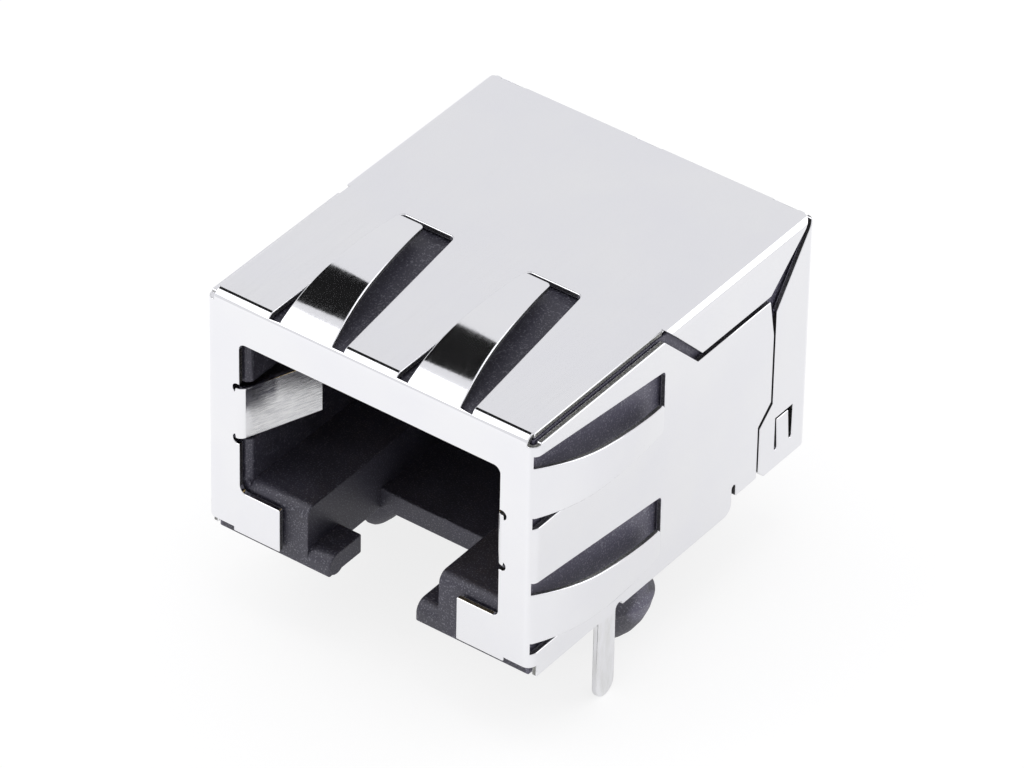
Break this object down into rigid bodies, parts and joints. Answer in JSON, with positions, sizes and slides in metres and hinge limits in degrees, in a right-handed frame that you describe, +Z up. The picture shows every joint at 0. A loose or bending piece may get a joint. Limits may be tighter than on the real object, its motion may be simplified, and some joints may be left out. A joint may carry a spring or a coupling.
{
  "type": "board modular jack",
  "caption": "Shielded board-mount modular jack with bowed grounding fingers, split locating pegs and staggered contact tails.",
  "frame": {"origin": "on the board's surface (the housing's underside), midway between the two locating pegs", "axes": "+Z up away from the board, -Y out of the port towards the plug, +X to the right seen from the port"},
  "size_m": [0.0168, 0.018, 0.016],
  "materials": {
    "plated_sheet": "bright nickel-plated thin sheet, polished, faint rolling lines",
    "black_plastic": "fine matte moulded surface of glass-filled plastic",
    "insert_plastic": "fine matte moulded surface",
    "gold_plate": "thin gold plating on spring metal"
  },
  "bodies": {
    "root": {"shield": "plated_sheet", "housing": "black_plastic", "contact_insert": "insert_plastic", "contact_1": "gold_plate", "contact_2": "gold_plate", "contact_3": "gold_plate", "contact_4": "gold_plate", "contact_5": "gold_plate", "contact_6": "gold_plate", "contact_7": "gold_plate", "contact_8": "gold_plate"}
  },
  "joints": []
}
